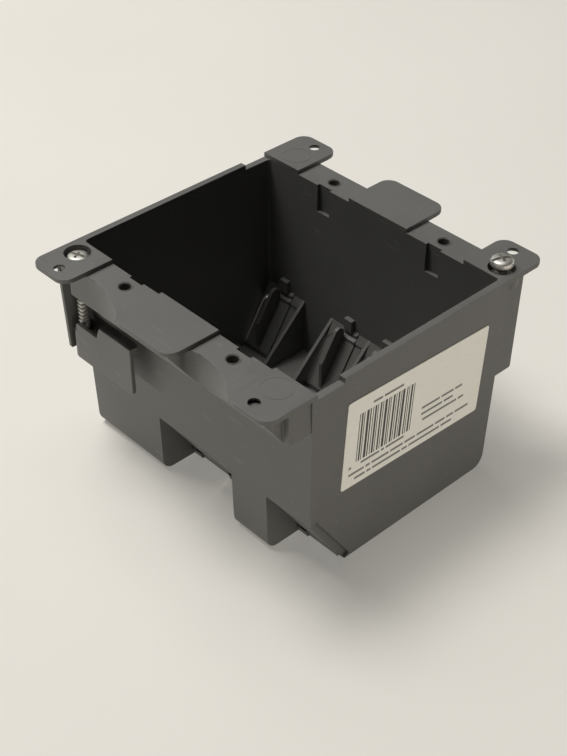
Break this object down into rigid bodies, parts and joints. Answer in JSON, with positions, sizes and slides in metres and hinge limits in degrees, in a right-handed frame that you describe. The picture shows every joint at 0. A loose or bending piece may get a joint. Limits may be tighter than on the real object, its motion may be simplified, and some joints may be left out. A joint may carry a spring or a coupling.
{
  "type": "two-gang electrical box",
  "caption": "Open plastic wall box with drafted walls, mounting ears, swing-out clamp wings on long screws, and sloping cable entries with spring tongues.",
  "frame": {"origin": "centre of the underside of the floor", "axes": "+Z out of the open face, +Y along the device screw columns towards the end with the proud screw, +X towards the labelled side wall"},
  "size_m": [0.101, 0.1096, 0.073],
  "materials": {
    "body": "fine matt grey",
    "screw": "zinc plated",
    "wing": "fine matt grey",
    "label": "matt paper"
  },
  "bodies": {
    "box": {"box_body": "body", "side_label": "label"},
    "screw_near": {"clamp_screw_near": "screw"},
    "wing_near": {"clamp_wing_near": "wing"},
    "screw_far": {"clamp_screw_far": "screw"},
    "wing_far": {"clamp_wing_far": "wing"}
  },
  "joints": [
    {"name": "screw_near_turn", "type": "hinge", "parent": "box", "child": "screw_near", "pos_m": [-0.0446, -0.0421, 0.05], "axis": [0, 0, 1], "continuous": true},
    {"name": "wing_near_swing", "type": "hinge", "parent": "box", "child": "wing_near", "pos_m": [-0.0446, -0.0421, 0.05], "axis": [0, 0, 1], "range_deg": [-90, 0]},
    {"name": "screw_far_turn", "type": "hinge", "parent": "box", "child": "screw_far", "pos_m": [0.0446, 0.0421, 0.05], "axis": [0, 0, 1], "continuous": true},
    {"name": "wing_far_swing", "type": "hinge", "parent": "box", "child": "wing_far", "pos_m": [0.0446, 0.0421, 0.05], "axis": [0, 0, 1], "range_deg": [-90, 0]}
  ]
}
